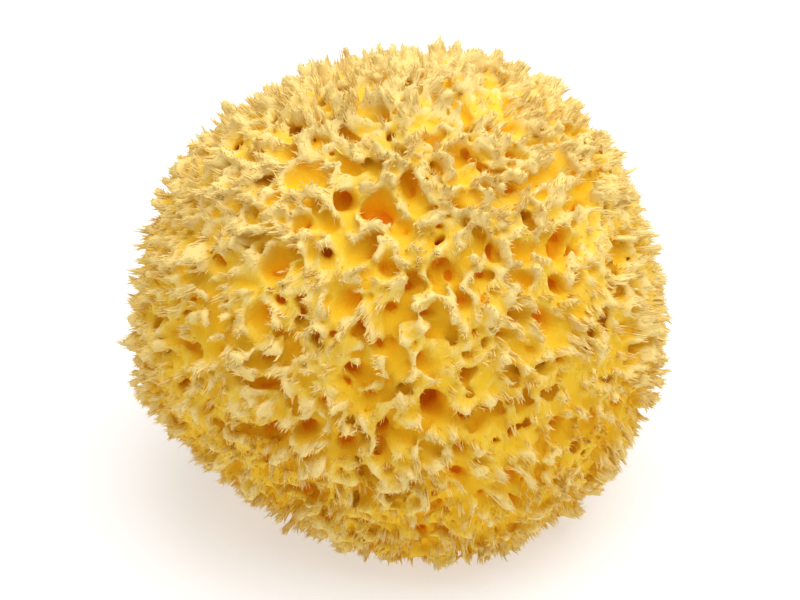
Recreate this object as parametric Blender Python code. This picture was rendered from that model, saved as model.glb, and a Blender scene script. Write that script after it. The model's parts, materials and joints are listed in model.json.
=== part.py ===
"""A natural honeycomb bath sponge, resting on its trimmed base.

It is one grown piece, so it is one closed solid: a rounded body whose skin is a net of pores with
a tuft standing where the walls between pores meet. Metres, +Z up, the front towards -Y. The origin
is on the flat base, straight below the middle of the body.
"""

import math

import bmesh
import bpy
import numpy as np
from mathutils import Vector

MM = 0.001

# How far the tuft tips reach from the middle, every 30 degrees anticlockwise from the right, as the
# sponge shows from its front, seen VIEW_TILT degrees from above.
OUTLINE_MM = (68.6, 68.8, 69.0, 65.6, 65.0, 69.6, 70.4, 68.6, 63.2, 67.2, 68.9, 69.3)
VIEW_TILT = 35.0
HALF_DEPTH_MM = 66.0
MIDDLE_HEIGHT_MM = 53.0

# The hollows that stand out on the front: right and up from the middle as seen, half width, depth.
HOLLOWS_MM = (
    (-11, 26, 4.5, 12), (-4, 27, 5.0, 14), (4, 26, 4.5, 12), (2, 20, 3.5, 9),
    (-11, 14, 3.6, 11), (-29, 33, 2.9, 7), (-18, 38, 2.8, 6), (-6, 37, 3.0, 6),
    (17, 52, 3.4, 5), (19, 40, 4.4, 6), (34, 44, 2.6, 5), (40, 43, 2.4, 5),
    (46, 35, 2.6, 6), (29, 31, 2.8, 6), (46, 26, 4.0, 6), (41, 16, 4.6, 10),
    (21, 15, 3.2, 6), (10, 7, 3.8, 7), (-14, 2, 3.6, 8), (-34, 8, 4.6, 6),
    (-49, 9, 2.6, 6), (-36, -3, 2.9, 6), (-25, -4, 2.6, 7), (-15, -1, 2.6, 8),
    (-10, -8, 2.6, 9), (15, -1, 2.8, 8), (39, -6, 4.6, 8), (12, -9, 3.2, 7),
    (-10, -20, 3.4, 12), (1, -15, 3.6, 9), (-3, -24, 2.2, 8), (10, -27, 4.2, 14),
    (-21, -27, 2.5, 8), (-27, -13, 2.6, 7), (-46, -13, 2.8, 6), (-33, -33, 5.2, 10),
    (-26, -32, 3.6, 9), (-17, -37, 4.0, 6), (-3, -34, 4.0, 9), (22, -30, 4.0, 8),
    (33, -27, 3.0, 7), (41, -24, 2.6, 6), (28, -46, 4.8, 8), (11, -44, 3.4, 7),
    (-10, -50, 3.8, 6), (-22, -49, 3.4, 7), (5, -59, 4.2, 6), (-51, -27, 2.6, 6),
)

# The even scatter of pores over the rest of the skin, and how wide a pore's mouth is to its cell.
PORE_COUNT = 500
PORE_JITTER = 0.034
PORE_DEPTH_MM = (4.0, 11.0)
MOUTH_WIDTH = (0.52, 0.8)
MOUTH_SINK_MM = 1.0
PORE_SEED = 7
# Pores grow shallow towards the trimmed base, so that its rim stays whole: the cosines from straight up.
LOW_PORE = -0.80
PORE_FADE = 0.08
TUFT_DROP_MM = 4.6
LOBE_COUNT = 26
LOBE_SWELL_MM = 1.4
LOBE_TIGHTNESS = 26.0

SPONGE_YELLOW = (0.80, 0.50, 0.12, 1.0)

GOLDEN_TURN = math.pi * (3 - math.sqrt(5))
TILT = math.radians(VIEW_TILT)
RIGHT = np.array([1.0, 0.0, 0.0])
UP = np.array([0.0, math.sin(TILT), math.cos(TILT)])
TOWARD = np.array([0.0, -math.cos(TILT), math.sin(TILT)])


def unit(vectors):
    return vectors / np.linalg.norm(vectors, axis=-1, keepdims=True)


def outline_radius(turn):
    """The outline's radius in millimetres, as the smooth closed curve through OUTLINE_MM."""
    count = len(OUTLINE_MM)
    waves = np.fft.rfft(OUTLINE_MM) / count
    radius = np.full_like(turn, waves[0].real)
    for k in range(1, count // 2):
        radius += 2 * (waves[k] * np.exp(1j * k * turn)).real
    return radius


def lobes(directions):
    """The broad swells and dips of the body, in millimetres."""
    rng = np.random.default_rng(PORE_SEED)
    middles = unit(rng.normal(size=(LOBE_COUNT, 3)))
    swells = rng.uniform(-LOBE_SWELL_MM, LOBE_SWELL_MM, LOBE_COUNT)
    return np.exp(LOBE_TIGHTNESS * (directions @ middles.T - 1)) @ swells


def tip_radius(directions):
    """How far the tips of the tufts stand from the middle along unit directions, in millimetres."""
    across, up, toward = directions @ RIGHT, directions @ UP, directions @ TOWARD
    outline = outline_radius(np.arctan2(up, across))
    body = 1 / np.sqrt((across**2 + up**2) / outline**2 + toward**2 / HALF_DEPTH_MM**2)
    return body + lobes(directions)


def hollow_directions():
    """Where the hollows of the front lie on the body, as unit directions from its middle."""
    across, up = np.array(HOLLOWS_MM)[:, :2].T
    outline = outline_radius(np.arctan2(up, across))
    toward = HALF_DEPTH_MM * np.sqrt(1 - (across**2 + up**2) / outline**2)
    return unit(np.outer(across, RIGHT) + np.outer(up, UP) + np.outer(toward, TOWARD))


def pores():
    """Directions and depths of all the pores: an even jittered spiral, opened up round the hollows."""
    rng = np.random.default_rng(PORE_SEED)
    step = np.arange(PORE_COUNT) + 0.5
    height = 1 - 2 * step / PORE_COUNT
    ring = np.sqrt(1 - height**2)
    turn = step * GOLDEN_TURN
    even = np.column_stack([ring * np.cos(turn), ring * np.sin(turn), height])
    scatter = unit(even + rng.normal(0, PORE_JITTER, even.shape))
    depths = rng.uniform(*PORE_DEPTH_MM, PORE_COUNT)
    hollows = hollow_directions()
    sizes = np.array(HOLLOWS_MM)
    gaps = np.arccos(np.clip(scatter @ hollows.T, -1, 1)) * HALF_DEPTH_MM
    clear = (gaps > sizes[:, 2] * 1.15).all(axis=1)
    directions = np.vstack([hollows, scatter[clear]])
    above_base = np.clip((directions[:, 2] - LOW_PORE) / PORE_FADE, 0, 1)
    return directions, np.concatenate([sizes[:, 3], depths[clear]]) * above_base


def face_outwards(net):
    bmesh.ops.recalc_face_normals(net, faces=list(net.faces))
    if net.calc_volume(signed=True) < 0:
        bmesh.ops.reverse_faces(net, faces=list(net.faces))


def pore_net(directions):
    """A closed net over the unit sphere: a corner for each pore, and one where the walls of three meet.

    The pores' hull is poked, then the edges between pores are turned to run along the walls instead.
    """
    net = bmesh.new()
    corners = [net.verts.new(direction) for direction in directions]
    bmesh.ops.convex_hull(net, input=corners)
    links = list(net.edges)
    meetings = bmesh.ops.poke(net, faces=list(net.faces))["verts"]
    bmesh.ops.rotate_edges(net, edges=links, use_ccw=False)
    face_outwards(net)
    return net, corners, meetings


def place(verts, radii_mm):
    """Sets each vertex its distance from the middle of the body, which stands over the base."""
    for vert, radius in zip(verts, radii_mm):
        vert.co = vert.co.normalized() * float(radius) * MM
        vert.co.z += MIDDLE_HEIGHT_MM * MM


def open_pore(net, pit, mouth_width, depth_mm):
    """Gives a pore a wall top that slopes in to its mouth, and steep walls that meet at its end."""
    cell = bmesh.utils.face_join(list(pit.link_faces), True)
    heart = cell.calc_center_median()
    inward = (Vector((0, 0, MIDDLE_HEIGHT_MM * MM)) - heart).normalized()
    mouth = bmesh.ops.extrude_discrete_faces(net, faces=[cell])["faces"][0]
    for vert in mouth.verts:
        vert.co = heart + (vert.co - heart) * mouth_width + inward * MOUTH_SINK_MM * MM
    end = bmesh.ops.poke(net, faces=[mouth])["verts"][0]
    end.co += inward * depth_mm * MM


def trim_base(net):
    """Cuts the body off flat at z = 0, and closes the cut."""
    everything = [*net.verts, *net.edges, *net.faces]
    cut = bmesh.ops.bisect_plane(
        net, geom=everything, dist=1e-7, plane_co=(0, 0, 0), plane_no=(0, 0, -1), clear_outer=True
    )["geom_cut"]
    rim = [item for item in cut if isinstance(item, bmesh.types.BMEdge)]
    bmesh.ops.triangle_fill(net, edges=rim, use_beauty=True, normal=(0, 0, -1))
    face_outwards(net)


def sponge_material():
    material = bpy.data.materials.new("sponge_fibre")
    material.use_nodes = True
    shader = material.node_tree.nodes["Principled BSDF"]
    shader.inputs["Base Color"].default_value = SPONGE_YELLOW
    shader.inputs["Roughness"].default_value = 0.9
    shader.inputs["Metallic"].default_value = 0.0
    return material


def build_sponge(collection):
    rng = np.random.default_rng(PORE_SEED + 1)
    directions, depths = pores()
    net, pits, tufts = pore_net(directions)
    place(pits, tip_radius(directions) - TUFT_DROP_MM)
    tuft_directions = unit(np.array([tuft.co for tuft in tufts]))
    drops = TUFT_DROP_MM * rng.uniform(0, 1, len(tufts))
    place(tufts, tip_radius(tuft_directions) - drops)
    for pit, depth, width in zip(pits, depths, rng.uniform(*MOUTH_WIDTH, len(pits))):
        if depth > 0:
            open_pore(net, pit, float(width), float(depth))
    trim_base(net)
    mesh = bpy.data.meshes.new("sponge")
    net.to_mesh(mesh)
    net.free()
    sponge = bpy.data.objects.new("sponge", mesh)
    sponge.data.materials.append(sponge_material())
    collection.objects.link(sponge)


def main():
    for obj in list(bpy.data.objects):
        bpy.data.objects.remove(obj, do_unlink=True)
    collection = bpy.data.collections.new("sea_sponge")
    bpy.context.scene.collection.children.link(collection)
    build_sponge(collection)


main()
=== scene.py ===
"""The looks of a natural honeycomb bath sponge: its porous body, and the frayed fibres that stand on it.

The body is grown as a field on a grid of cells, in millimetres, round the same middle, outline and pores
as the solid, and then meshed. Its skin rises to conules, the soft points that a sponge's skin has between
its pores. The fibres are copies of two modelled ones: ribs that run up the conules and stand past their
tops, and a short nap on the webs between.
"""

import json
import math

import bpy
import numpy as np
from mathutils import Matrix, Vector

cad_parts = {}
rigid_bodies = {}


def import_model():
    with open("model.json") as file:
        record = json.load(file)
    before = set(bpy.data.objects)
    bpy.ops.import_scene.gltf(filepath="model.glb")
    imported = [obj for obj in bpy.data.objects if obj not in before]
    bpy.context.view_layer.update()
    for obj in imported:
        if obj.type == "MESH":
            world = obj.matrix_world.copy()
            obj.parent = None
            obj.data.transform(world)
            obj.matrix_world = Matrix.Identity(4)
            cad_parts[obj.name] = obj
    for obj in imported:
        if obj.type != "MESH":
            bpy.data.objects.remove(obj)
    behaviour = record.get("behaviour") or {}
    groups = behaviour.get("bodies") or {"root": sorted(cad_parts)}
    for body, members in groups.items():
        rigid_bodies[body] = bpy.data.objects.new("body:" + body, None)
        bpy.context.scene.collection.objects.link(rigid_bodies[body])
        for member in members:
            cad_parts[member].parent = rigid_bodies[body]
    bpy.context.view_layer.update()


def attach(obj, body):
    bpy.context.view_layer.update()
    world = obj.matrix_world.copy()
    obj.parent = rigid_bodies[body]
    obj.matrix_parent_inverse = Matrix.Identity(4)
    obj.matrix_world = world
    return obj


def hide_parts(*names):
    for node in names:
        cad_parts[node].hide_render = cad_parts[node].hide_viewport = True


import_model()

MM = 0.001

# The body's outline, as the solid has it: how far the tips reach from the middle, every 30 degrees
# anticlockwise from the right, as the sponge shows from its front, VIEW_TILT degrees from above.
OUTLINE_MM = (68.6, 68.8, 69.0, 65.6, 65.0, 69.6, 70.4, 68.6, 63.2, 67.2, 68.9, 69.3)
VIEW_TILT = 35.0
HALF_DEPTH_MM = 66.0
MIDDLE_HEIGHT_MM = 53.0

# The hollows of the front, as the solid has them: right and up from the middle, half width, depth.
HOLLOWS_MM = (
    (-11, 26, 4.5, 12), (-4, 27, 5.0, 14), (4, 26, 4.5, 12), (2, 20, 3.5, 9),
    (-11, 14, 3.6, 11), (-29, 33, 2.9, 7), (-18, 38, 2.8, 6), (-6, 37, 3.0, 6),
    (17, 52, 3.4, 5), (19, 40, 4.4, 6), (34, 44, 2.6, 5), (40, 43, 2.4, 5),
    (46, 35, 2.6, 6), (29, 31, 2.8, 6), (46, 26, 4.0, 6), (41, 16, 4.6, 10),
    (21, 15, 3.2, 6), (10, 7, 3.8, 7), (-14, 2, 3.6, 8), (-34, 8, 4.6, 6),
    (-49, 9, 2.6, 6), (-36, -3, 2.9, 6), (-25, -4, 2.6, 7), (-15, -1, 2.6, 8),
    (-10, -8, 2.6, 9), (15, -1, 2.8, 8), (39, -6, 4.6, 8), (12, -9, 3.2, 7),
    (-10, -20, 3.4, 12), (1, -15, 3.6, 9), (-3, -24, 2.2, 8), (10, -27, 4.2, 14),
    (-21, -27, 2.5, 8), (-27, -13, 2.6, 7), (-46, -13, 2.8, 6), (-33, -33, 5.2, 10),
    (-26, -32, 3.6, 9), (-17, -37, 4.0, 6), (-3, -34, 4.0, 9), (22, -30, 4.0, 8),
    (33, -27, 3.0, 7), (41, -24, 2.6, 6), (28, -46, 4.8, 8), (11, -44, 3.4, 7),
    (-10, -50, 3.8, 6), (-22, -49, 3.4, 7), (5, -59, 4.2, 6), (-51, -27, 2.6, 6),
)

# The even scatter of pores and the broad lobes, as the solid has them.
PORE_SEED = 7
PORE_COUNT = 500
PORE_JITTER = 0.034
PORE_DEPTH_MM = (4.0, 11.0)
HOLLOW_CLEARANCE = 1.15
LOBE_COUNT = 26
LOBE_SWELL_MM = 1.4
LOBE_TIGHTNESS = 26.0

# The grid that the body is grown on, and the shell that its skin lies in, by distance from its middle.
CELL = 0.68
GRID_LOW = np.array([-73.0, -70.0, -3.0])
GRID_HIGH = np.array([73.0, 70.0, 121.0])
GRID_SHAPE = tuple(int(n) for n in np.ceil((GRID_HIGH - GRID_LOW) / CELL))
SHELL_MM = (40.0, 76.0)
FAR_MM = 9.0

# How the body is grown: the web's level below the tips, its swells, and how far its pores stray from round.
BODY_SEED = 11
WEB_MM = 4.3
SWELLS = ((15.0, 0.6), (5.0, 0.55), (2.3, 0.36))
WANDERS = ((7.0, 1.0), (2.8, 0.35))
BODY_TRIANGLES = 196000
STEEPEST_COSINE = 0.35

# The flutes, which are deepest near the tips and fade on the way in.
FLUTE_LUMP_MM = 1.5
FLUTE_MM = 0.3
FLUTE_STRETCH = 3.0
FLUTE_SKIN_MM = 1.5
FLUTE_END_MM = 8
FLUTE_FADE_MM = 4
FLUTE_LEAST = 0.15

# The wide pores, which hang a little with the skin, and the channels that join some of them.
PORE_RADIUS_MM = (1.6, 3.3)
PORE_MOUTH_LIFT_MM = 1.0
PORE_MOUTH_SHARE = 1.12
PORE_FLOOR_SHARE = 0.62
PORE_REACH = 0.78
PORE_EXTRA_MM = 3.0
PORE_HOOD = 0.2
PORE_LEAN = 0.16
LIP_MM = 0.8
LIP_REACH_MM = 2.4
CHANNEL_SHARE = 0.3
CHANNEL_SPAN_MM = 13.0
CHANNEL_DEPTH_MM = 0.6
CHANNEL_RADIUS_MM = (1.2, 2.2)
CHANNEL_SINK_MM = (-0.8, 1.6)

# The smaller pores and the pinholes: how many, how wide, how deep, and how uneven their scatter is.
SIDE_PORES = (1900, (0.8, 1.6), (1.5, 3.4), 0.03)
PINHOLES = (1400, (0.65, 1.0), (0.7, 1.6), 0.02)
SIDE_PORE_LIFT_MM = 3.0
SIDE_PORE_LEAN = 0.3
SIDE_PORE_TAPER = 0.8

# The flat cut below, and the canals that open in it.
CUT_HEIGHT_MM = 0.05
CUT_RADIUS_MM = 40
CUT_CANALS = 260
CANAL_START_MM = -1.5
CANAL_LEAN = 0.25
CANAL_RADIUS_MM = (0.8, 2.3)
CANAL_LENGTH_MM = (4, 9)
CANAL_TAPER = 0.7

# The conules: how many are tried, how close they stand to one another and to pores, and their sizes.
CONULE_TRIES = 6000
CONULE_JITTER = 0.018
CONULE_GAP_MM = 2.1
CONULE_CLEARANCE_MM = 1.0
CONULE_ROOT_MM = 2.2
CONULE_TOP_MM = (-0.6, 4.0)
CONULE_TOP_SHARE = (0.3, 1.0)
CONULE_FOOT_RADIUS_MM = (0.8, 1.4)
CONULE_TOP_RADIUS_MM = (0.3, 0.6)
CONULE_FLATNESS = (1.1, 2.6)
RIM_MM = 1.6
CROWN_LIFT_MM = 1.6
CROWN_FOCUS = 3
MELT_MM = 1.0
MELT_REACH_MM = 2.0

# Which way the conules lean: how much down from the crown, with their neighbours, and each its own way.
CROWN = np.array([0.0, -0.25, 1.0])
CONULE_FALL = 0.55
CONULE_STRAY = 0.28
CONULE_STRAY_LUMP_MM = 12.0
CONULE_LEAN = 0.14

# The ridges that tie some conules into a web, more of them down the sides than round them.
RIDGE_SPAN_MM = 6.2
RIDGE_SHARE = 0.45
RIDGE_DRAPE = 0.9
RIDGE_LEVEL = 0.55
RIDGE_RADIUS_MM = (0.55, 1.1)

# The ribs on each conule. RIB_START is a share of its height, and RIB_SPLAY a mean and a spread.
FIBRE_SEED = 23
# FIBRE_SHELTER caps how much painted shade the fibres take from the walls round them.
FIBRE_SHELTER = 0.5
FIBRE_ABOVE_CUT_MM = 0.1
RIBS_PER_CONULE = 12
RIB_RINGS = ((0.35, 1.0), (0.7, 0.75))
RIB_RADIUS_MM = (0.13, 0.22)
RIB_START = (0.3, 0.8)
RIB_PAST_TOP_MM = (0.4, 1.9)
RIB_SPLAY = (0.35, 0.5)
RIB_SUNK = 0.8
RIB_STAND_OUT = 0.16
RIB_STAND_OUT_RATE = 4
RIB_SWAY_MM = 0.5
RIB_ROOT_LEVEL_MM = 0.1
FLANK_LEVEL_MM = 0.3
FLANK_SHARE = 0.75

# The nap between the ribs: where it grows, which way it lies, and its sizes.
NAP_COUNT = 30000
NAP_RINGS = ((0.5, 0.85),)
NAP_MOST_SHELTER = 0.56
NAP_SHELTER_FADE = 0.16
NAP_DEEPEST_MM = 5.8
NAP_DEPTH_FADE_MM = 3
NAP_LOWEST_MM = 1.0
NAP_OUTWARD = 0.6
NAP_FALL = 0.8
NAP_STRAY = 0.5
NAP_STRAY_LUMP_MM = 7.0
NAP_LEAN = 0.15
NAP_RISE = 0.3
NAP_BEND = 0.2
NAP_ROOT_MM = 0.35
NAP_RADIUS_MM = (0.11, 0.18)
NAP_LENGTH_MM = (0.9, 2.2)

# What the mesh stores for its material: how far walls are felt for the painted shade in hollows, in cells,
# the cut's depth, and the combing.
WALLS_WIDE = 2
WALLS_CLOSE = 1
CUT_DEPTH_MM = 3.0
CUT_DEPTH_GAIN = 1.5
COMB_STRETCH = 7.0
COMB_SWIRL = 2.2

GOLDEN_TURN = math.pi * (3 - math.sqrt(5))
TILT = math.radians(VIEW_TILT)
RIGHT = np.array([1.0, 0.0, 0.0])
UP = np.array([0.0, math.sin(TILT), math.cos(TILT)])
TOWARD = np.array([0.0, -math.cos(TILT), math.sin(TILT)])
MIDDLE = np.array([0.0, 0.0, MIDDLE_HEIGHT_MM])


def unit(vectors):
    """The vectors, each scaled to a length of one."""
    return vectors / np.linalg.norm(vectors, axis=-1, keepdims=True)


def outline_radius(turn):
    """The outline's radius in millimetres, as the smooth closed curve through OUTLINE_MM."""
    count = len(OUTLINE_MM)
    waves = np.fft.rfft(OUTLINE_MM) / count
    radius = np.full_like(turn, waves[0].real)
    for k in range(1, count // 2):
        radius += 2 * (waves[k] * np.exp(1j * k * turn)).real
    return radius


def lobes(directions):
    """The broad swells and dips of the body, in millimetres."""
    rng = np.random.default_rng(PORE_SEED)
    middles = unit(rng.normal(size=(LOBE_COUNT, 3)))
    swells = rng.uniform(-LOBE_SWELL_MM, LOBE_SWELL_MM, LOBE_COUNT)
    return np.exp(LOBE_TIGHTNESS * (directions @ middles.T - 1)) @ swells


def tip_radius(directions):
    """How far the tips of the fibres stand from the middle along unit directions, in millimetres."""
    across, up, toward = directions @ RIGHT, directions @ UP, directions @ TOWARD
    outline = outline_radius(np.arctan2(up, across))
    body = 1 / np.sqrt((across**2 + up**2) / outline**2 + toward**2 / HALF_DEPTH_MM**2)
    return body + lobes(directions)


def hollow_directions():
    """Where the hollows of the front lie on the body, as unit directions from its middle."""
    across, up = np.array(HOLLOWS_MM)[:, :2].T
    outline = outline_radius(np.arctan2(up, across))
    toward = HALF_DEPTH_MM * np.sqrt(1 - (across**2 + up**2) / outline**2)
    return unit(np.outer(across, RIGHT) + np.outer(up, UP) + np.outer(toward, TOWARD))


def spiral(count, rng, jitter):
    """Directions spread evenly over the sphere, then jittered."""
    step = np.arange(count) + 0.5
    height = 1 - 2 * step / count
    ring = np.sqrt(1 - height**2)
    turn = step * GOLDEN_TURN
    even = np.column_stack([ring * np.cos(turn), ring * np.sin(turn), height])
    return unit(even + rng.normal(0, jitter, even.shape))


def pores():
    """Directions, depths and mouth radii of the wide pores, where the solid has them."""
    rng = np.random.default_rng(PORE_SEED)
    scatter = spiral(PORE_COUNT, rng, PORE_JITTER)
    depths = rng.uniform(*PORE_DEPTH_MM, PORE_COUNT)
    hollows = hollow_directions()
    sizes = np.array(HOLLOWS_MM)
    gaps = np.arccos(np.clip(scatter @ hollows.T, -1, 1)) * HALF_DEPTH_MM
    clear = (gaps > sizes[:, 2] * HOLLOW_CLEARANCE).all(axis=1)
    radii = rng.uniform(*PORE_RADIUS_MM, PORE_COUNT)
    return (
        np.vstack([hollows, scatter[clear]]),
        np.concatenate([sizes[:, 3], depths[clear]]),
        np.concatenate([sizes[:, 2], radii[clear]]),
    )


def spline_weights(places, count):
    """Rows of cubic spline weights that read count evenly spaced values at the given places."""
    first = np.floor(places).astype(int)
    t = places - first
    rows = np.arange(len(places))
    weights = np.zeros((len(places), count), np.float32)
    parts = ((1 - t) ** 3, 3 * t**3 - 6 * t**2 + 4, 3 * (t + t**2 - t**3) + 1, t**3)
    for shift, part in enumerate(parts):
        weights[rows, first + shift] = part / 6
    return weights


def soft_noise(rng, lump_mm):
    """A smooth random field over the grid, of unit spread, with lumps about lump_mm across."""
    values_read = 4
    readers = []
    for cells in GRID_SHAPE:
        places = np.arange(cells) * CELL / lump_mm
        readers.append(spline_weights(places, int(places[-1]) + values_read))
    field = rng.normal(size=[reader.shape[1] for reader in readers]).astype(np.float32)
    field = np.tensordot(readers[0], field, (1, 0))
    field = np.tensordot(field, readers[1], (1, 1))
    field = np.tensordot(field, readers[2], (1, 1))
    return field / field.std()


def layered_noise(rng, layers):
    """Soft noises added up. Each layer has the width of its lumps, and its size."""
    return sum(size * soft_noise(rng, lump) for lump, size in layers)


def grid_axes():
    """The places of the grid's cells along X, Y and Z, in millimetres, shaped to spread over the grid."""
    lines = [low + CELL * np.arange(n) for low, n in zip(GRID_LOW, GRID_SHAPE)]
    return [
        lines[0].astype(np.float32)[:, None, None],
        lines[1].astype(np.float32)[None, :, None],
        lines[2].astype(np.float32)[None, None, :],
    ]


def grid_envelope():
    """The smooth body before its pores: its distance field, in millimetres, negative inside.

    Outside the shell that the skin lies in, it only says which side of the skin a cell is on.
    """
    x, y, z = grid_axes()
    places = np.stack(np.broadcast_arrays(x, y, z - MIDDLE_HEIGHT_MM), axis=-1)
    radius = np.linalg.norm(places, axis=-1)
    field = np.where(radius < HALF_DEPTH_MM, -FAR_MM, FAR_MM).astype(np.float32)
    shell = (radius > SHELL_MM[0]) & (radius < SHELL_MM[1])
    directions = places[shell] / radius[shell][:, None]
    field[shell] = radius[shell] - tip_radius(directions) + WEB_MM
    return field


def near(start, end, reach):
    """The window of the grid that lies within reach of the line from start to end."""
    low = np.floor((np.minimum(start, end) - reach - GRID_LOW) / CELL).astype(int)
    high = np.ceil((np.maximum(start, end) + reach - GRID_LOW) / CELL).astype(int)
    return tuple(slice(max(a, 0), max(b, 0)) for a, b in zip(low, high))


def rod(wandering, window, start, end, start_radius, end_radius, side=None, flatness=1.0):
    """The distance field of a tapering rod, negative inside. It is flatness times as wide along side."""
    along = end - start
    x, y, z = (wandering[k][window] - np.float32(start[k]) for k in range(3))
    share = np.clip((x * along[0] + y * along[1] + z * along[2]) / (along @ along), 0, 1)
    x, y, z = x - share * along[0], y - share * along[1], z - share * along[2]
    across = x**2 + y**2 + z**2
    if side is not None:
        across -= (x * side[0] + y * side[1] + z * side[2]) ** 2 * (1 - 1 / flatness**2)
    return np.sqrt(np.maximum(across, 0)) - (start_radius + (end_radius - start_radius) * share)


def carve(field, wandering, start, end, start_radius, end_radius):
    """Cuts a round tapering hole from start to end out of the field, and rounds its lip."""
    window = near(start, end, max(start_radius, end_radius) + LIP_REACH_MM)
    here = field[window]
    if here.size:
        hole = -rod(wandering, window, start, end, start_radius, end_radius)
        blend = np.clip(0.5 + 0.5 * (here - hole) / LIP_MM, 0, 1)
        field[window] = here * blend + hole * (1 - blend) + LIP_MM * blend * (1 - blend)


def raise_rod(field, wandering, start, end, start_radius, end_radius, side=None, flatness=1.0):
    """Adds a tapering rod to the field, melted into what it stands on."""
    window = near(start, end, max(start_radius, end_radius) * flatness + MELT_REACH_MM)
    here = field[window]
    if here.size:
        rise = rod(wandering, window, start, end, start_radius, end_radius, side, flatness)
        blend = np.clip(0.5 + 0.5 * (rise - here) / MELT_MM, 0, 1)
        field[window] = here * blend + rise * (1 - blend) - MELT_MM * blend * (1 - blend)


def on_skin(directions, depth_mm):
    """Points on the body, so far below the fibres' tips."""
    return MIDDLE + directions * (tip_radius(directions) - depth_mm)[:, None]


def leaning(directions, rng, lean):
    """Directions, each tipped its own way."""
    return unit(directions + rng.normal(0, lean, directions.shape))


def away_from_crown(outward):
    """Which way the skin falls away from the sponge's crown, along the skin."""
    crown = unit(CROWN)
    return outward - crown * (outward @ crown)[:, None]


def stray_ways(rng, places, lump_mm):
    """Random directions that neighbours share."""
    return np.column_stack([read_grid(soft_noise(rng, lump_mm), places) for _ in range(3)])


def place_conules(rng):
    """The conules: their feet, tops, widest sides, radii at foot and top, and flatness.

    They are spread evenly, and those that would stand in a wide pore are moved out to its rim.
    """
    ways = spiral(CONULE_TRIES, rng, CONULE_JITTER)
    pore_ways, _, radii = pores()
    gaps = np.arccos(np.clip(ways @ pore_ways.T, -1, 1)) * HALF_DEPTH_MM - radii
    nearest = gaps.argmin(axis=1)
    push = np.clip(CONULE_CLEARANCE_MM - gaps[np.arange(len(ways)), nearest], 0, None)
    apart = ways - pore_ways[nearest] * (ways * pore_ways[nearest]).sum(axis=1)[:, None]
    ways = unit(ways + unit(apart) * (push / HALF_DEPTH_MM)[:, None])
    skin = on_skin(ways, 0.0)
    keep = spaced_out(skin, rng.permutation(len(ways)), CONULE_GAP_MM)
    ways, skin = ways[keep], skin[keep]
    count = len(ways)
    lean = CONULE_FALL * away_from_crown(ways) + CONULE_STRAY * stray_ways(rng, skin, CONULE_STRAY_LUMP_MM)
    lean += rng.normal(0, CONULE_LEAN, (count, 3))
    drop = rng.uniform(*CONULE_TOP_MM, count)
    root_depth = WEB_MM + CONULE_ROOT_MM
    feet = on_skin(ways, root_depth)
    crowned = CROWN_LIFT_MM * np.clip(ways @ UP, 0, 1) ** CROWN_FOCUS
    rise = root_depth - drop * rng.uniform(*CONULE_TOP_SHARE, count) + crowned
    tops = feet + unit(ways + lean) * rise[:, None]
    on_rim = (gaps.min(axis=1)[keep] < RIM_MM)[:, None]
    facing = np.where(on_rim, apart[keep], rng.normal(size=(count, 3)))
    side = unit(np.cross(tops - feet, facing))
    foot_radii = rng.uniform(*CONULE_FOOT_RADIUS_MM, count)
    top_radii = rng.uniform(*CONULE_TOP_RADIUS_MM, count)
    return feet, tops, side, foot_radii, top_radii, rng.uniform(*CONULE_FLATNESS, count)


def raise_conules(field, wandering, conules, rng):
    """The conules, and the ridges that tie some neighbours into a web."""
    for conule in zip(*conules):
        foot, top, side, foot_radius, top_radius, flatness = conule
        raise_rod(field, wandering, foot, top, foot_radius, top_radius, side, flatness)
    feet, tops = conules[:2]
    middles = feet + RIDGE_LEVEL * (tops - feet)
    falls = away_from_crown(unit(feet - MIDDLE))
    for i, near_ones in enumerate(neighbours(middles, RIDGE_SPAN_MM)):
        steepness = np.linalg.norm(falls[i])
        for j in near_ones:
            along_fall = (unit(middles[j] - middles[i]) @ falls[i] / steepness) ** 2
            share = RIDGE_SHARE * (1 + RIDGE_DRAPE * steepness * (2 * along_fall - 1))
            if i < j and rng.random() < share:
                radii = rng.uniform(*RIDGE_RADIUS_MM, 2)
                raise_rod(field, wandering, middles[i], middles[j], *radii)


def carve_pores(field, wandering, rng):
    """The wide pores, and the channels that join some of them to a neighbour."""
    directions, depths, radii = pores()
    mouths = on_skin(directions, -PORE_MOUTH_LIFT_MM)
    inward = leaning(directions + PORE_HOOD * away_from_crown(directions), rng, PORE_LEAN)
    for mouth, way, depth, radius in zip(mouths, inward, depths, radii):
        floor = mouth - way * (PORE_REACH * depth + PORE_EXTRA_MM)
        carve(field, wandering, mouth, floor, radius * PORE_MOUTH_SHARE, radius * PORE_FLOOR_SHARE)
    floors = on_skin(directions, WEB_MM + CHANNEL_DEPTH_MM)
    for i, near_ones in enumerate(neighbours(floors, CHANNEL_SPAN_MM)):
        for j in near_ones:
            if i < j and rng.random() < CHANNEL_SHARE:
                radius = rng.uniform(*CHANNEL_RADIUS_MM)
                sink = rng.uniform(*CHANNEL_SINK_MM)
                a, b = floors[i] - directions[i] * sink, floors[j] - directions[j] * sink
                carve(field, wandering, a, b, radius, radius)


def carve_side_pores(field, wandering, rng, count, radius_range, depth_range, jitter):
    """Smaller pores all over the skin and in the walls of the wide ones, each leaning its own way."""
    directions = spiral(count, rng, jitter)
    mouths = on_skin(directions, WEB_MM - SIDE_PORE_LIFT_MM)
    inward = leaning(directions, rng, SIDE_PORE_LEAN)
    radii = rng.uniform(*radius_range, count)
    depths = rng.uniform(*depth_range, count)
    for mouth, way, radius, depth in zip(mouths, inward, radii, depths):
        carve(field, wandering, mouth, mouth - way * depth, radius, radius * SIDE_PORE_TAPER)


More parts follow.
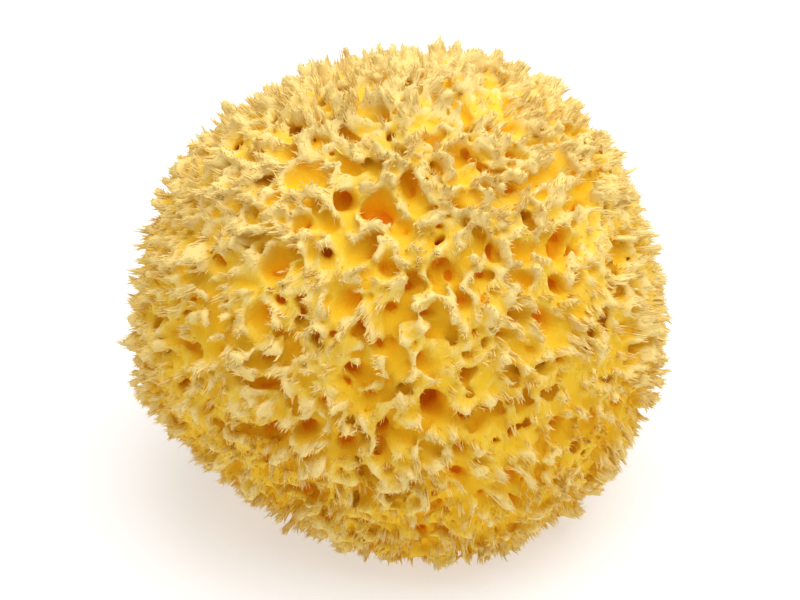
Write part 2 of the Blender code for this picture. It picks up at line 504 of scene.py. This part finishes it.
def carve_cut_canals(field, wandering, rng):
    """The canals that open in the flat cut below."""
    for _ in range(CUT_CANALS):
        turn = rng.uniform(0, 2 * math.pi)
        reach = CUT_RADIUS_MM * math.sqrt(rng.uniform(0, 1))
        foot = np.array([reach * math.cos(turn), reach * math.sin(turn), CANAL_START_MM])
        lean = np.array([rng.normal(0, CANAL_LEAN), rng.normal(0, CANAL_LEAN), 1.0])
        radius = rng.uniform(*CANAL_RADIUS_MM)
        end = foot + lean * rng.uniform(*CANAL_LENGTH_MM)
        carve(field, wandering, foot, end, radius, radius * CANAL_TAPER)


def flute(field, rng):
    """Ribs the skin with soft flutes that run in from the tips."""
    noise = soft_noise(rng, FLUTE_LUMP_MM)
    skin = np.nonzero(np.abs(field) < FLUTE_SKIN_MM)
    places = np.column_stack(skin) * CELL + GRID_LOW
    from_middle = places - MIDDLE
    radius = np.linalg.norm(from_middle, axis=1)
    ways = from_middle / radius[:, None]
    depth = tip_radius(ways) - radius
    drawn_out = MIDDLE + ways * (HALF_DEPTH_MM + (radius - HALF_DEPTH_MM) / FLUTE_STRETCH)[:, None]
    fading = np.clip((FLUTE_END_MM - depth) / FLUTE_FADE_MM, FLUTE_LEAST, 1)
    field[skin] += FLUTE_MM * fading * read_grid(noise, drawn_out)


def grow_body(conules, wander, rng):
    """The body's field: the smooth body, then all that is raised on it and cut out of it.

    The outermost cells are left empty, so that the mesh closes.
    """
    empty = 1.0
    field = grid_envelope()
    field += layered_noise(rng, SWELLS)
    wandering = [axis + noise for axis, noise in zip(grid_axes(), wander)]
    raise_conules(field, wandering, conules, rng)
    carve_pores(field, wandering, rng)
    carve_side_pores(field, wandering, rng, *SIDE_PORES)
    carve_side_pores(field, wandering, rng, *PINHOLES)
    flute(field, rng)
    heights = grid_axes()[2]
    field = np.maximum(field, CUT_HEIGHT_MM - heights)
    carve_cut_canals(field, wandering, rng)
    for axis in range(3):
        np.moveaxis(field, axis, 0)[[0, 1, -1]] = empty
    return field


def plane_corner(field, corner, axis, other):
    """The field's cells at one corner of each square of two by two across two of its axes."""
    window = [slice(None)] * 3
    for line in (axis, other):
        window[line] = slice(1, None) if corner[line] else slice(None, -1)
    return field[tuple(window)]


def block_corner(field, corner):
    """The field's cells that stand at one corner of each block of two by two by two."""
    return field[tuple(slice(1, None) if later else slice(None, -1) for later in corner)]


def fill_touching_corners(field):
    """Fills in where parts of the body would touch only along an edge or at a corner of their cells.

    The mesh round what is left has two faces at every edge.
    """
    barely_inside = -0.05
    corners = list(np.ndindex(2, 2, 2))
    filled = True
    while filled:
        filled = False
        for axis, other in ((0, 1), (0, 2), (1, 2)):
            square = [[0, 0, 0] for _ in range(4)]
            square[1][axis] = square[3][axis] = square[2][other] = square[3][other] = 1
            a, b, c, d = (plane_corner(field, corner, axis, other) for corner in square)
            crossed = (a < 0) & (d < 0) & (b >= 0) & (c >= 0)
            b[crossed] = barely_inside
            filled |= crossed.any()
            crossed = (b < 0) & (c < 0) & (a >= 0) & (d >= 0)
            a[crossed] = barely_inside
            filled |= crossed.any()
        inside = field < 0
        count = sum(block_corner(inside, corner).astype(np.int8) for corner in corners)
        for corner in corners[:4]:
            opposite = tuple(1 - later for later in corner)
            first, second = block_corner(inside, corner), block_corner(inside, opposite)
            lone = first & second & (count == 2)
            block_corner(field, (1 - corner[0], *corner[1:]))[lone] = barely_inside
            pinched = ~first & ~second & (count == 6)
            block_corner(field, corner)[pinched] = barely_inside
            filled |= lone.any() or pinched.any()


def surface_net(field):
    """The closed mesh where the field is zero: vertex places in millimetres, and quads facing out."""
    inside = field < 0
    shape = np.array(field.shape)
    places = np.zeros((3, field.size))
    count = np.zeros(field.size)
    quads = []
    for axis in range(3):
        cells = [slice(None)] * 3
        next_cells = [slice(None)] * 3
        cells[axis], next_cells[axis] = slice(None, -1), slice(1, None)
        index = np.argwhere(inside[tuple(cells)] != inside[tuple(next_cells)])
        index = index[(index > 0).all(axis=1)]
        step = np.zeros(3, int)
        step[axis] = 1
        a = field[tuple(index.T)]
        b = field[tuple((index + step).T)]
        crossing = index + np.outer(a / (a - b), step)
        u, v = np.roll([[1, 0, 0], [0, 1, 0], [0, 0, 1]], -axis - 1, axis=0)[:2]
        corners = [np.ravel_multi_index((index - shift).T, shape) for shift in (0 * u, u, u + v, v)]
        for corner in corners:
            count += np.bincount(corner, minlength=field.size)
            for k in range(3):
                places[k] += np.bincount(corner, crossing[:, k], field.size)
        quad = np.column_stack(corners)
        quad[a > 0] = quad[a > 0][:, ::-1]
        quads.append(quad)
    used = np.nonzero(count)[0]
    number = np.full(field.size, -1)
    number[used] = np.arange(len(used))
    vertices = (places[:, used] / count[used]).T * CELL + GRID_LOW
    return vertices, number[np.vstack(quads)]


def mesh_of(name, vertices_mm, faces):
    """A smooth mesh object from arrays of places and faces, all with the same number of corners."""
    mesh = bpy.data.meshes.new(name)
    corners = faces.shape[1]
    mesh.vertices.add(len(vertices_mm))
    mesh.vertices.foreach_set("co", (vertices_mm * MM).astype(np.float32).ravel())
    mesh.loops.add(faces.size)
    mesh.loops.foreach_set("vertex_index", faces.astype(np.int32).ravel())
    mesh.polygons.add(len(faces))
    mesh.polygons.foreach_set("loop_start", np.arange(0, faces.size, corners, dtype=np.int32))
    mesh.update(calc_edges=True)
    mesh.shade_smooth()
    piece = bpy.data.objects.new(name, mesh)
    bpy.context.scene.collection.objects.link(piece)
    return piece


def thin_out(piece, triangles):
    """Collapses the mesh to about so many triangles, most of them where it curves most."""
    select_only(piece)
    decimate = piece.modifiers.new("thin_out", "DECIMATE")
    decimate.ratio = triangles / (2 * len(piece.data.polygons))
    bpy.ops.object.modifier_apply(modifier=decimate.name)


def shade(piece):
    """Shades the mesh smooth, but for the faces too steep to their neighbours, which would show dark."""
    mesh = piece.data
    mesh.shade_smooth()
    corners = stored(mesh.loops, "vertex_index", 1, np.int32)[:, 0]
    corner_counts = stored(mesh.polygons, "loop_total", 1, np.int32)[:, 0]
    vertex_ways = stored(mesh.vertices, "normal", 3)
    owner = np.repeat(np.arange(len(corner_counts)), corner_counts)
    cosines = (vertex_ways[corners] * face_facts(piece)[1][owner]).sum(axis=1)
    steep = np.bincount(owner, cosines < STEEPEST_COSINE) > 0
    mesh.polygons.foreach_set("use_smooth", ~steep)
    mesh.update()


def drop_crumbs(piece):
    """Deletes what isn't joined to the piece's highest vertex: crumbs, and the skins of sealed bubbles."""
    select_only(piece)
    bpy.ops.object.mode_set(mode="EDIT")
    bpy.ops.mesh.select_all(action="DESELECT")
    bpy.ops.object.mode_set(mode="OBJECT")
    piece.data.vertices[int(vertex_places(piece)[:, 2].argmax())].select = True
    bpy.ops.object.mode_set(mode="EDIT")
    bpy.ops.mesh.select_mode(type="VERT")
    bpy.ops.mesh.select_linked()
    bpy.ops.mesh.select_all(action="INVERT")
    bpy.ops.mesh.delete(type="VERT")
    bpy.ops.object.mode_set(mode="OBJECT")


def stored(items, name, width, kind=np.float32):
    """What the mesh stores under a name for each of its items, in rows of that width."""
    values = np.empty(len(items) * width, kind)
    items.foreach_get(name, values)
    return values.reshape(-1, width)


def vertex_places(piece):
    """Where the piece's vertices stand, in millimetres."""
    return stored(piece.data.vertices, "co", 3) / MM


def blurred(field, reach):
    """The field averaged over a box of cells, three times over, which is close to a round blur."""
    for _ in range(3):
        for axis in range(3):
            pads = [(0, 0)] * 3
            pads[axis] = (reach + 1, reach)
            total = np.cumsum(np.pad(field, pads, mode="edge"), axis=axis, dtype=np.float32)
            ahead = np.take(total, range(2 * reach + 1, total.shape[axis]), axis=axis)
            behind = np.take(total, range(0, total.shape[axis] - 2 * reach - 1), axis=axis)
            field = (ahead - behind) / (2 * reach + 1)
    return field


def read_grid(field, places_mm):
    """The field's values at places, from the nearest eight cells."""
    before_last = np.array(field.shape) - 1.001
    spots = np.clip((places_mm - GRID_LOW) / CELL, 0, before_last)
    first = spots.astype(int)
    t = spots - first
    value = 0
    for corner in np.ndindex(2, 2, 2):
        weight = np.prod(np.where(corner, t, 1 - t), axis=1)
        value = value + weight * field[tuple((first + corner).T)]
    return value


def below_tips(places_mm):
    """How far places lie below the fibres' tips, in millimetres."""
    from_middle = places_mm - MIDDLE
    radius = np.linalg.norm(from_middle, axis=1)
    return tip_radius(from_middle / radius[:, None]) - radius


def combed(places_mm, wander):
    """Places drawn together along the way the skin is combed, down from the crown, for noise to streak."""
    swirled = places_mm - MIDDLE + COMB_SWIRL * noise_at(places_mm, wander)
    outward = unit(swirled)
    crown = unit(CROWN)
    fall = np.arccos(np.clip(outward @ crown, -1, 1))
    level = unit(away_from_crown(outward))
    return HALF_DEPTH_MM * MM * (level + np.outer(fall / COMB_STRETCH, crown))


def paint(piece, walls, wander, fray, most_shelter):
    """Stores what the material reads: each vertex's depth, the walls round it, from which the material
    paints shade into the hollows, its fray and its combing.

    Near the flat cut the depth counts for less, so that the cut is as pale as the skin, and no place
    counts as more sheltered than most_shelter.
    """
    places = vertex_places(piece)
    above_cut = np.maximum(places[:, 2], 0)
    streaks = piece.data.attributes.new("combed", "FLOAT_VECTOR", "POINT")
    streaks.data.foreach_set("vector", combed(places, wander).astype(np.float32).ravel())
    facts = {
        "below_tips": np.minimum(below_tips(places), CUT_DEPTH_MM + CUT_DEPTH_GAIN * above_cut),
        "shelter": np.minimum(read_grid(walls["wide"], places), most_shelter),
        "pitted": np.minimum(read_grid(walls["close"], places), most_shelter),
        "fray": np.broadcast_to(fray, len(places)),
    }
    for name, values in facts.items():
        attribute = piece.data.attributes.new(name, "FLOAT", "POINT")
        attribute.data.foreach_set("value", values.astype(np.float32))


def select_only(piece):
    """Selects the piece alone and makes it active, as an operator needs."""
    bpy.ops.object.select_all(action="DESELECT")
    piece.select_set(True)
    bpy.context.view_layer.objects.active = piece


def cut_across(heights):
    """Cuts rings round the mesh of the active object at these heights."""
    bpy.ops.object.mode_set(mode="EDIT")
    for height in heights:
        bpy.ops.mesh.select_all(action="SELECT")
        bpy.ops.mesh.bisect(plane_co=(0, 0, height), plane_no=(0, 0, 1))
    bpy.ops.object.mode_set(mode="OBJECT")


def model_fibre(rings):
    """A fibre, a unit tall along +Z from its root: a thin cone, filled out at rings of height and radius."""
    on_ring = 0.01
    bpy.ops.object.select_all(action="DESELECT")
    bpy.ops.mesh.primitive_cone_add(vertices=3, radius1=1.0, radius2=0.0, depth=1.0, location=(0, 0, 0.5))
    fibre = bpy.context.object
    bpy.ops.object.transform_apply(location=True)
    cut_across([height for height, _ in rings])
    for vert in fibre.data.vertices:
        for height, radius in rings:
            if abs(vert.co.z - height) < on_ring:
                vert.co.x *= radius / (1 - height)
                vert.co.y *= radius / (1 - height)
    bpy.ops.object.mode_set(mode="EDIT")
    bpy.ops.mesh.select_all(action="SELECT")
    bpy.ops.mesh.quads_convert_to_tris()
    bpy.ops.object.mode_set(mode="OBJECT")
    places, faces = mesh_arrays(fibre)
    bpy.data.objects.remove(fibre, do_unlink=True)
    return places, faces


def mesh_arrays(piece):
    """The places of a mesh's vertices, in its own units, and the vertices of its faces."""
    faces = np.array([face.vertices[:] for face in piece.data.polygons])
    return stored(piece.data.vertices, "co", 3), faces


def face_facts(piece):
    """Middles in millimetres, outward normals and areas of a mesh's faces."""
    faces = piece.data.polygons
    return stored(faces, "center", 3) / MM, stored(faces, "normal", 3), stored(faces, "area", 1)[:, 0]


def cells_round(places, size):
    """Which places lie in each cube of that size, by the cube's three numbers."""
    cubes = {}
    for index, key in enumerate(map(tuple, np.floor(places / size).astype(int))):
        cubes.setdefault(key, []).append(index)
    return cubes


def neighbours(places, reach):
    """For each place, the others within reach."""
    cubes = cells_round(places, reach)
    found = []
    for spot in places:
        key = np.floor(spot / reach).astype(int)
        others = [other for shift in np.ndindex(3, 3, 3) for other in cubes.get(tuple(key + shift - 1), ())]
        others = np.array(others)
        gaps = np.linalg.norm(places[others] - spot, axis=1)
        found.append(others[(gaps < reach) & (gaps > 0)])
    return found


def spaced_out(places, order, gap):
    """The first places of the order that stand at least a gap from those taken before them."""
    taken, grid = [], {}
    for index in order:
        spot = places[index]
        key = tuple((spot // gap).astype(int))
        near_ones = [
            other
            for shift in np.ndindex(3, 3, 3)
            for other in grid.get(tuple(k + step - 1 for k, step in zip(key, shift)), ())
        ]
        if all(np.sum((places[other] - spot) ** 2) > gap * gap for other in near_ones):
            grid.setdefault(key, []).append(index)
            taken.append(index)
    return np.array(taken)


def noise_at(places, wander):
    """How far the body's cells wander at places, along X, Y and Z, in millimetres."""
    return np.column_stack([read_grid(noise, places) for noise in wander])


def unwarp(places, wander):
    """Where straight places come to lie in the body, whose cells wander."""
    flat = places.reshape(-1, 3)
    moved = flat - noise_at(flat, wander)
    moved = flat - noise_at(moved, wander)
    return moved.reshape(places.shape)


def lay_ribs(shape, field, conules, wander, rng):
    """Copies of the modelled rib, each up the flank of a conule and past its top, and their frays.

    Those whose conule a pore has cut away are left out.
    """
    owner = np.repeat(np.arange(len(conules[0])), RIBS_PER_CONULE)
    feet, tops, side, foot_radii, top_radii, flatness = (fact[owner] for fact in conules)
    count = len(owner)
    axis = tops - feet
    height = np.linalg.norm(axis, axis=1)
    other = np.cross(unit(axis), side)
    turn = rng.uniform(0, 2 * math.pi, count)
    start = rng.uniform(*RIB_START, count)
    past_top = rng.uniform(*RIB_PAST_TOP_MM, count) / height
    x, y, t = shape.T[:, None, :]
    share = start[:, None] + (1 + past_top - start)[:, None] * t
    on_flank = np.minimum(share, 1)
    radius = foot_radii[:, None] + (top_radii - foot_radii)[:, None] * on_flank
    splay = rng.normal(*RIB_SPLAY, count)[:, None] * np.maximum(share - 1, 0)
    reach = radius * (RIB_SUNK + RIB_STAND_OUT * np.minimum(RIB_STAND_OUT_RATE * t, 1)) + splay
    across = side * (np.cos(turn) * flatness)[:, None] + other * np.sin(turn)[:, None]
    tangent = unit(np.cross(axis, across))
    outward = unit(across)
    thick = rng.uniform(*RIB_RADIUS_MM, count)[:, None]
    sway = rng.normal(0, RIB_SWAY_MM, count)[:, None] * t**2
    places = (
        feet[:, None]
        + axis[:, None] * share[..., None]
        + across[:, None] * reach[..., None]
        + outward[:, None] * (x * thick)[..., None]
        + tangent[:, None] * (y * thick + sway)[..., None]
    )
    places = unwarp(places, wander)
    root = read_grid(field, places[:, shape[:, 2].argmin()])
    on_axis = feet + axis * FLANK_SHARE
    flank = read_grid(field, on_axis - noise_at(on_axis, wander))
    return places[(root < RIB_ROOT_LEVEL_MM) & (flank < FLANK_LEVEL_MM)], t[0] ** 2


def lay_nap(shape, body, walls, rng):
    """Copies of the modelled nap fibre on the skin's high and open places, and their frays."""
    centres, normals, areas = face_facts(body)
    depth = below_tips(centres)
    shelter = read_grid(walls["wide"], centres)
    open_sky = np.clip((NAP_MOST_SHELTER - shelter) / NAP_SHELTER_FADE, 0, 1)
    high = np.clip((NAP_DEEPEST_MM - depth) / NAP_DEPTH_FADE_MM, 0, 1)
    weight = areas * high * open_sky * (centres[:, 2] > NAP_LOWEST_MM)
    sites = rng.choice(len(centres), NAP_COUNT, p=weight / weight.sum())
    spots, normal = centres[sites], normals[sites]
    outward = unit(spots - MIDDLE)
    lean = NAP_FALL * away_from_crown(outward) + NAP_STRAY * stray_ways(rng, spots, NAP_STRAY_LUMP_MM)
    way = unit(NAP_OUTWARD * outward + lean + rng.normal(0, NAP_LEAN, spots.shape))
    rise = (way * normal).sum(axis=1)
    way = unit(way + normal * np.clip(NAP_RISE - rise, 0, None)[:, None])
    side = unit(np.cross(way, rng.normal(size=way.shape)))
    other = np.cross(way, side)
    length = rng.uniform(*NAP_LENGTH_MM, NAP_COUNT)
    bend = rng.normal(0, NAP_BEND, spots.shape) * length[:, None]
    thick = rng.uniform(*NAP_RADIUS_MM, NAP_COUNT)
    x, y, t = shape.T[..., None]
    places = (
        (spots - way * NAP_ROOT_MM)[:, None]
        + way[:, None] * t * length[:, None, None]
        + side[:, None] * x * thick[:, None, None]
        + other[:, None] * y * thick[:, None, None]
        + bend[:, None] * t**2
    )
    return places, shape[:, 2] ** 2


def build_fibres(body, field, walls, conules, wander, material):
    """The ribs and the nap, joined into one piece for each quarter of the body."""
    rng = np.random.default_rng(FIBRE_SEED)
    rib, rib_faces = model_fibre(RIB_RINGS)
    nap, nap_faces = model_fibre(NAP_RINGS)
    kinds = (
        (*lay_ribs(rib, field, conules, wander, rng), rib_faces),
        (*lay_nap(nap, body, walls, rng), nap_faces),
    )
    names = ("fibres_back_left", "fibres_back_right", "fibres_front_left", "fibres_front_right")
    for number, name in enumerate(names):
        places, faces, frays, total = [], [], [], 0
        for laid, fray, corners in kinds:
            root = laid[:, 0]
            quarter = (root[:, 0] > 0) + 2 * ((root - MIDDLE) @ TOWARD > 0)
            above_cut = laid[:, :, 2].min(axis=1) > FIBRE_ABOVE_CUT_MM
            mine = laid[(quarter == number) & above_cut]
            places.append(mine.reshape(-1, 3))
            first = total + laid.shape[1] * np.arange(len(mine))[:, None, None]
            faces.append((corners + first).reshape(-1, 3))
            frays.append(np.tile(fray, len(mine)))
            total += len(places[-1])
        piece = mesh_of(name, np.vstack(places), np.vstack(faces))
        piece.data.shade_flat()
        paint(piece, walls, wander, np.concatenate(frays), FIBRE_SHELTER)
        piece.data.materials.append(material)
        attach(piece, "root")
        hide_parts("sponge")


def build_body(field, walls, wander, material):
    """The porous body: one closed mesh from its field."""
    fill_touching_corners(field)
    vertices, quads = surface_net(field)
    body = mesh_of("sponge_body", vertices, quads)
    drop_crumbs(body)
    thin_out(body, BODY_TRIANGLES)
    shade(body)
    paint(body, walls, wander, 0.0, 1.0)
    body.data.materials.append(material)
    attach(body, "root")
    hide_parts("sponge")
    return body


class Wire:
    """A shader socket that can be used in sums: each operator adds a Math node."""

    def __init__(self, tree, socket):
        self.tree = tree
        self.socket = socket

    def node(self, kind, settings=None, output=0, **inputs):
        """Adds a node, sets it, then gives its sockets values or links. _0 is the socket numbered 0."""
        node = self.tree.nodes.new(kind)
        for name, value in (settings or {}).items():
            if name == "stops":
                self.set_stops(node.color_ramp.elements, value)
            else:
                setattr(node, name, value)
        for name, value in inputs.items():
            socket = node.inputs[int(name[1:]) if name[1:].isdigit() else name]
            if isinstance(value, Wire):
                self.tree.links.new(value.socket, socket)
            else:
                socket.default_value = value
        return Wire(self.tree, node.outputs[output])

    def set_stops(self, elements, stops):
        """Gives a ramp its stops: a position each, and a colour as it shows on a screen."""
        while len(elements) < len(stops):
            elements.new(0.5)
        for element, (position, colour) in zip(elements, stops):
            element.position = position
            element.color = linear(*colour)

    def math(self, operation, first, second):
        return self.node("ShaderNodeMath", {"operation": operation}, _0=first, _1=second)

    def __add__(self, other):
        return self.math("ADD", self, other)

    __radd__ = __add__

    def __sub__(self, other):
        return self.math("SUBTRACT", self, other)

    def __rsub__(self, other):
        return self.math("SUBTRACT", other, self)

    def __mul__(self, other):
        return self.math("MULTIPLY", self, other)

    __rmul__ = __mul__

    def over(self, level):
        """How far the value rises over a level, and nothing below it."""
        return self.math("MAXIMUM", self - level, 0.0)

    def sway(self, size):
        """The value, which runs from 0 to 1, turned to one that sways about nothing."""
        return (self - 0.5) * size


def linear(red, green, blue):
    """A colour given as it shows on a screen, from 0 to 255, as the shader's own linear values."""
    shares = [value / 255 for value in (red, green, blue)]
    return [s / 12.92 if s <= 0.04045 else ((s + 0.055) / 1.055) ** 2.4 for s in shares] + [1.0]


# The sponge's colour by its tone, from the palest tips to the deepest pores. Its deeper stops are partly
# painted light: a bright warm yellow that stands in for light glowing through the walls, and painted shade
# in the deepest pores.
TONES = (
    (0.00, (241, 215, 138)),
    (0.14, (240, 202, 76)),
    (0.30, (240, 195, 48)),
    (0.48, (247, 199, 36)),
    (0.68, (252, 199, 28)),
    (0.86, (252, 184, 21)),
    (1.00, (242, 156, 14)),
)

# What deepens or pales the tone, and by how much. Where walls close round, the tone takes painted shade
# and a painted warm glow, and height paints the top paler and the bottom deeper, as light from above would.
TONE_DEPTH_MM = 15
SHELTER_PAINTED_SHADE_TONE = 0.5
PAINTED_SHADE_FROM = 0.66
WIDE_PAINTED_SHADE_TONE = 2.2
CLOSE_PAINTED_SHADE_TONE = 1.7
FRAY_TONE = 0.14
PATCH_TONE = 0.2
GRAIN_TONE = 0.25
STREAK_TONE = 0.45
PAINTED_TOP_LIGHT_TONE = 3.0
PAINTED_LIGHT_LEVEL = 0.065

# The sizes of the patterns, the relief of the grain and streaks, and the finish.
PATCHES = {"Scale": 70.0, "Detail": 3.0}
GRAIN = {"Scale": 1100.0, "Detail": 4.0, "Roughness": 0.65}
STREAKS = {"Scale": 1500.0, "Detail": 2.0}
GRAIN_RELIEF = 0.5
RELIEF_HEIGHT = 0.0005
BODY_RELIEF = 0.5
FIBRE_RELIEF = 0.0
SPONGE_FINISH = {"Roughness": 0.9, "Specular IOR Level": 0.2}

# The pale table, the sky and the softbox.
WHITE = (1.0, 1.0, 1.0, 1.0)
TABLE_SIZE = 4.0
TABLE_DROP = 0.0002
TABLE_FINISH = {
    "Base Color": (0.55, 0.55, 0.55, 1.0),
    "Roughness": 0.8,
    "Emission Color": WHITE,
    "Emission Strength": 0.5,
}
SKY = {"Color": WHITE, "Strength": 0.49}
SOFTBOX_SIZE = 1.5
SOFTBOX_POWER = 17.0
SOFTBOX_PLACE = (0.2, 0.0, 1.1)
SOFTBOX_TARGET = (0, 0, 0.05)


def set_sockets(node, values):
    """Gives a node's own sockets their values."""
    for name, value in values.items():
        node.inputs[name].default_value = value


def sponge_material(name, strength):
    """Spongin: paler where it is frayed, and a deeper yellow in the pores, with painted light on it: painted
    shade and warm glow where walls close round, and a top painted paler and a bottom painted deeper, as
    light from above falls.

    The strength is that of its grain's and streaks' relief.
    """
    material = bpy.data.materials.new(name)
    material.use_nodes = True
    tree = material.node_tree
    shader = tree.nodes["Principled BSDF"]
    start = Wire(tree, None)
    place = start.node("ShaderNodeTexCoord", output="Object")
    height = start.node("ShaderNodeSeparateXYZ", output="Z", Vector=place)
    comb = start.node("ShaderNodeAttribute", {"attribute_name": "combed"}, output="Vector")
    depth, shelter, pitted, fray = (
        start.node("ShaderNodeAttribute", {"attribute_name": fact}, output="Fac")
        for fact in ("below_tips", "shelter", "pitted", "fray")
    )
    patches = start.node("ShaderNodeTexNoise", Vector=place, **PATCHES)
    grain = start.node("ShaderNodeTexNoise", Vector=place, **GRAIN)
    streaks = start.node("ShaderNodeTexNoise", Vector=comb, **STREAKS)
    # Painted shade and warm glow in the hollows, where walls close round.
    painted_hollow_shade = shelter.over(PAINTED_SHADE_FROM) * WIDE_PAINTED_SHADE_TONE + pitted.over(PAINTED_SHADE_FROM) * CLOSE_PAINTED_SHADE_TONE
    # The depth is partly the sponge's own colour, paler at its tips, and partly painted glow and shade in
    # the pores. Shelter paints open places paler and sheltered ones deeper.
    tone = depth * (1 / TONE_DEPTH_MM) + shelter.sway(SHELTER_PAINTED_SHADE_TONE) + painted_hollow_shade - fray * FRAY_TONE
    tone = tone + patches.sway(PATCH_TONE) + grain.sway(GRAIN_TONE) + streaks.sway(STREAK_TONE)
    # Painted light from above: the top paler, the bottom deeper.
    tone = tone - (height - PAINTED_LIGHT_LEVEL) * PAINTED_TOP_LIGHT_TONE
    colour = start.node("ShaderNodeValToRGB", {"stops": TONES}, Fac=tone)
    tree.links.new(colour.socket, shader.inputs["Base Color"])
    relief = grain * GRAIN_RELIEF + streaks
    bump = start.node("ShaderNodeBump", Height=relief, Strength=strength, Distance=RELIEF_HEIGHT)
    tree.links.new(bump.socket, shader.inputs["Normal"])
    set_sockets(shader, SPONGE_FINISH)
    return material


def build_floor():
    """A pale table that glows a little, so that it shows nearly white."""
    bpy.ops.object.select_all(action="DESELECT")
    bpy.ops.mesh.primitive_plane_add(size=TABLE_SIZE, location=(0, 0, -TABLE_DROP))
    floor = bpy.context.object
    floor.name = "floor"
    material = bpy.data.materials.new("white_table")
    material.use_nodes = True
    set_sockets(material.node_tree.nodes["Principled BSDF"], TABLE_FINISH)
    floor.data.materials.append(material)


def aim(thing, target):
    """Turns a light or a camera to face the target."""
    thing.rotation_euler = (Vector(target) - thing.location).to_track_quat("-Z", "Y").to_euler()


def add_lights():
    """A white sky all round, and one large softbox overhead."""
    world = bpy.data.worlds.new("studio")
    bpy.context.scene.world = world
    world.use_nodes = True
    set_sockets(world.node_tree.nodes["Background"], SKY)
    light = bpy.data.objects.new("softbox", bpy.data.lights.new("softbox", "AREA"))
    light.data.size = SOFTBOX_SIZE
    light.data.energy = SOFTBOX_POWER
    light.location = SOFTBOX_PLACE
    aim(light, SOFTBOX_TARGET)
    bpy.context.scene.collection.objects.link(light)
    bpy.context.scene.view_settings.view_transform = "Standard"


def add_camera():
    """The photograph's view: from the front and above, through a long lens."""
    pixel_mm = 0.257
    pixels_across = 800
    distance = 1.5
    raised_mm = 1.2
    sensor_width = 36.0
    camera = bpy.data.objects.new("camera", bpy.data.cameras.new("camera"))
    bpy.context.scene.collection.objects.link(camera)
    bpy.context.scene.camera = camera
    target = (MIDDLE + raised_mm * UP) * MM
    camera.location = Vector(target + TOWARD * distance)
    aim(camera, target)
    camera.data.sensor_width = sensor_width
    camera.data.lens = sensor_width * distance / (pixels_across * pixel_mm * MM)
    camera.data.clip_end = 20.0


def main():
    rng = np.random.default_rng(BODY_SEED)
    wander = [layered_noise(rng, WANDERS) for _ in range(3)]
    conules = place_conules(rng)
    field = grow_body(conules, wander, rng)
    filled = (field < 0).astype(np.float32)
    walls = {"wide": blurred(filled, WALLS_WIDE), "close": blurred(filled, WALLS_CLOSE)}
    body_finish = sponge_material("spongin", BODY_RELIEF)
    fibre_finish = sponge_material("spongin_fibre", FIBRE_RELIEF)
    body = build_body(field, walls, wander, body_finish)
    build_fibres(body, field, walls, conules, wander, fibre_finish)
    build_floor()
    add_lights()
    add_camera()


main()
